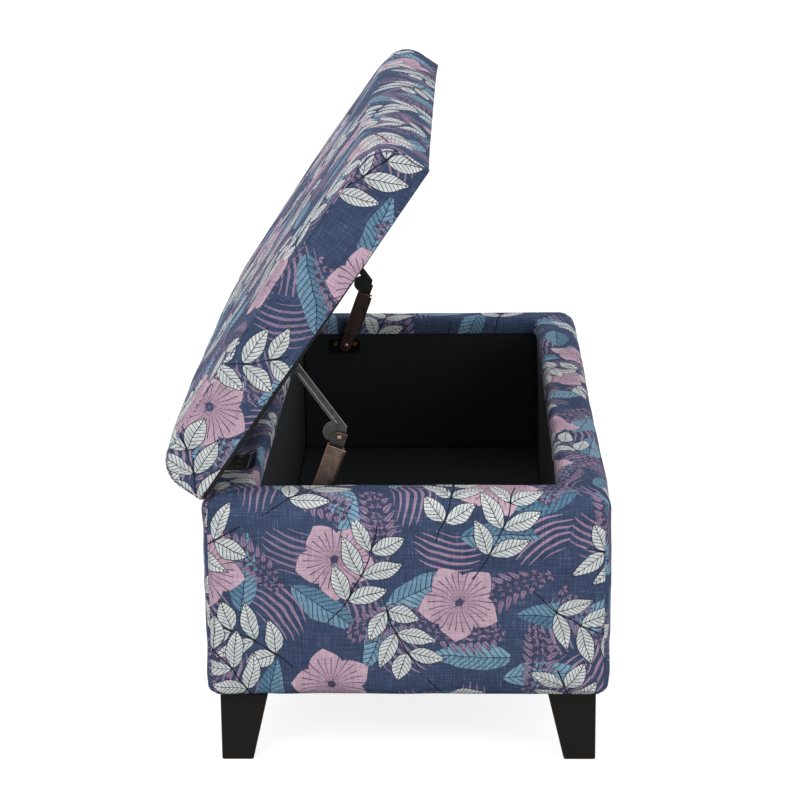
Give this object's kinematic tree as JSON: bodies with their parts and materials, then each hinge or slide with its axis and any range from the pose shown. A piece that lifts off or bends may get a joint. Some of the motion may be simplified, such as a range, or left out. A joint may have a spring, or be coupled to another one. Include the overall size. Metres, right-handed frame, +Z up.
{
  "type": "storage ottoman",
  "caption": "Long padded storage ottoman in printed linen, its cushioned lid hinged at the back and held open by folding stays, on tapered block legs.",
  "frame": {"origin": "on the floor, under the middle of the footprint with the lid open", "axes": "+X along the length to the right end, +Y to the hinged back, +Z up"},
  "size_m": [1, 0.5224, 0.7467],
  "materials": {
    "printed_linen": "matte",
    "padding": "matte",
    "frame_wood": "matte",
    "board": "matte",
    "black_lining": "matte",
    "leg_wood": "satin",
    "zinc_steel": "satin",
    "dark_bronze": "satin",
    "screw_brass": "satin",
    "antique_copper": "satin",
    "bright_copper": "satin"
  },
  "bodies": {
    "base": {"front_top_rail": "frame_wood", "back_top_rail": "frame_wood", "left_top_rail": "frame_wood", "right_top_rail": "frame_wood", "floor_rails": "frame_wood", "corner_posts": "frame_wood", "floor_board": "board", "front_panel": "board", "back_panel": "board", "left_end_panel": "board", "right_end_panel": "board", "front_lining": "black_lining", "back_lining": "black_lining", "left_end_lining": "black_lining", "right_end_lining": "black_lining", "floor_lining": "black_lining", "base_dust_cover": "black_lining", "front_cover": "printed_linen", "back_cover": "printed_linen", "left_end_cover": "printed_linen", "right_end_cover": "printed_linen", "side_foam": "padding", "rim_foam": "padding", "front_left_leg": "leg_wood", "back_left_leg": "leg_wood", "front_right_leg": "leg_wood", "back_right_leg": "leg_wood", "leg_bolts": "zinc_steel", "leg_tee_nuts": "zinc_steel", "left_hinge_box_leaf": "dark_bronze", "right_hinge_box_leaf": "dark_bronze", "hinge_pins": "dark_bronze", "hinge_box_screws": "screw_brass", "left_stay_base_plate": "dark_bronze", "right_stay_base_plate": "dark_bronze", "stay_base_rivets": "bright_copper", "stay_base_screws": "screw_brass"},
    "lid": {"left_hinge_lid_leaf": "dark_bronze", "right_hinge_lid_leaf": "dark_bronze", "hinge_lid_screws": "screw_brass", "lid_cover": "printed_linen", "lid_left_end_cap": "printed_linen", "lid_right_end_cap": "printed_linen", "lid_foam": "padding", "lid_board": "board", "lid_dust_cover": "black_lining", "left_stay_lid_bracket": "dark_bronze", "right_stay_lid_bracket": "dark_bronze", "stay_lid_rivets": "bright_copper", "stay_lid_screws": "screw_brass"},
    "left_stay_link": {"left_stay_sleeve": "antique_copper", "left_stay_tongue": "dark_bronze", "left_stay_elbow_rivet": "bright_copper"},
    "left_stay_arm_link": {"left_stay_arm": "dark_bronze"},
    "right_stay_link": {"right_stay_sleeve": "antique_copper", "right_stay_tongue": "dark_bronze", "right_stay_elbow_rivet": "bright_copper"},
    "right_stay_arm_link": {"right_stay_arm": "dark_bronze"}
  },
  "joints": [
    {"name": "lid_hinge", "type": "hinge", "parent": "base", "child": "lid", "pos_m": [0, 0.2103, 0.3343], "axis": [1, 0, 0], "range_deg": [0, 55.5]},
    {"name": "left_stay_base_pivot", "type": "hinge", "parent": "base", "child": "left_stay_link", "pos_m": [-0.4398, 0.0953, 0.2948], "axis": [1, 0, 0], "range_deg": [0, 96.57]},
    {"name": "left_stay_lid_pivot", "type": "hinge", "parent": "lid", "child": "left_stay_arm_link", "pos_m": [-0.4398, 0.10969, 0.47434], "axis": [1, 0, 0], "range_deg": [-54.39, 0]},
    {"name": "right_stay_base_pivot", "type": "hinge", "parent": "base", "child": "right_stay_link", "pos_m": [0.4398, 0.0953, 0.2948], "axis": [1, 0, 0], "range_deg": [0, 96.57]},
    {"name": "right_stay_lid_pivot", "type": "hinge", "parent": "lid", "child": "right_stay_arm_link", "pos_m": [0.4398, 0.10969, 0.47434], "axis": [1, 0, 0], "range_deg": [-54.39, 0]}
  ],
  "couplings": [
    {"joint": "left_stay_base_pivot", "follows": "lid_hinge", "ratio": 1.74},
    {"joint": "left_stay_lid_pivot", "follows": "lid_hinge", "ratio": -0.98},
    {"joint": "right_stay_base_pivot", "follows": "lid_hinge", "ratio": 1.74},
    {"joint": "right_stay_lid_pivot", "follows": "lid_hinge", "ratio": -0.98}
  ]
}
